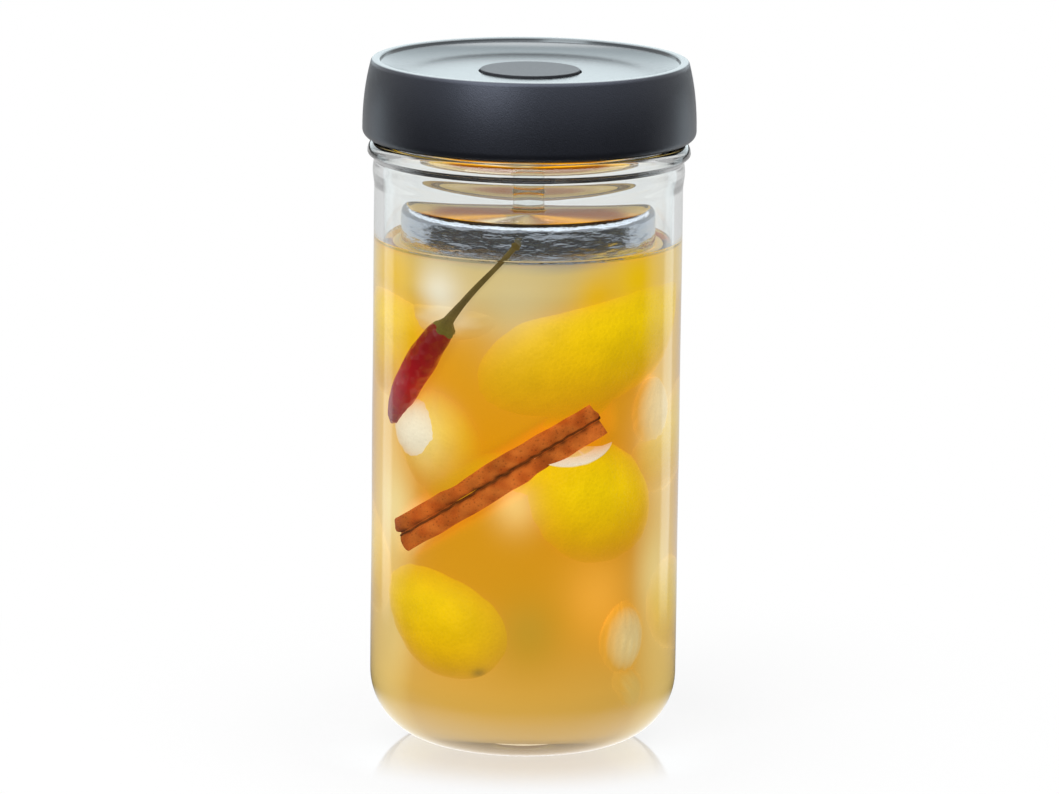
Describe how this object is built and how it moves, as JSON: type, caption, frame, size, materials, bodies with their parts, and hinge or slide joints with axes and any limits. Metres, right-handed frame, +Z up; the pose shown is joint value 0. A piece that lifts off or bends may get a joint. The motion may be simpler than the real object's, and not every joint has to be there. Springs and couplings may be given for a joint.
{
  "type": "fermentation jar",
  "caption": "Tall clear glass fermentation jar with a screw lid, a gas valve in the lid and a pressed-glass weight hanging from the lid by its stem.",
  "frame": {"origin": "centre of the jar's foot, on the surface that it stands on", "axes": "+Z up along the jar's axis; X and Y level, with -Y towards the camera of the picture"},
  "size_m": [0.116, 0.116, 0.2404],
  "materials": {
    "jar_glass": "clear polished soda-lime glass, 3.5 mm wall",
    "gasket_silicone": "matte white silicone",
    "lid_black_plastic": "satin moulded black polypropylene",
    "insert_black_plastic": "matte moulded black polypropylene",
    "button_grey_plastic": "matte charcoal, finely textured",
    "membrane_silicone": "translucent silicone",
    "socket_silicone": "dark silicone",
    "weight_glass": "fire-polished pressed glass, slightly wavy"
  },
  "bodies": {
    "jar": {"glass_jar": "jar_glass"},
    "seal": {"lid_gasket": "gasket_silicone"},
    "lid": {"lid_shell": "lid_black_plastic", "thread_insert": "insert_black_plastic", "weight_socket": "socket_silicone"},
    "valve": {"valve_button": "button_grey_plastic", "valve_membrane": "membrane_silicone"},
    "weight": {"glass_weight": "weight_glass"}
  },
  "joints": [
    {"name": "lid_rise", "type": "slide", "parent": "jar", "child": "seal", "axis": [0, 0, 1], "range_m": [0, 0.0661]},
    {"name": "lid_turn", "type": "hinge", "parent": "seal", "child": "lid", "pos_m": [0, 0, 0.2327], "axis": [0, 0, 1], "range_deg": [0, 990]},
    {"name": "valve_lift", "type": "slide", "parent": "lid", "child": "valve", "axis": [0, 0, 1], "range_m": [0, 0.001], "stiffness_N_per_m": 500},
    {"name": "weight_pull", "type": "slide", "parent": "lid", "child": "weight", "axis": [0, 0, 1], "range_m": [-0.005, 0]}
  ],
  "couplings": [
    {"joint": "lid_rise", "follows": "lid_turn", "m_per_rad": 0.0038197}
  ]
}
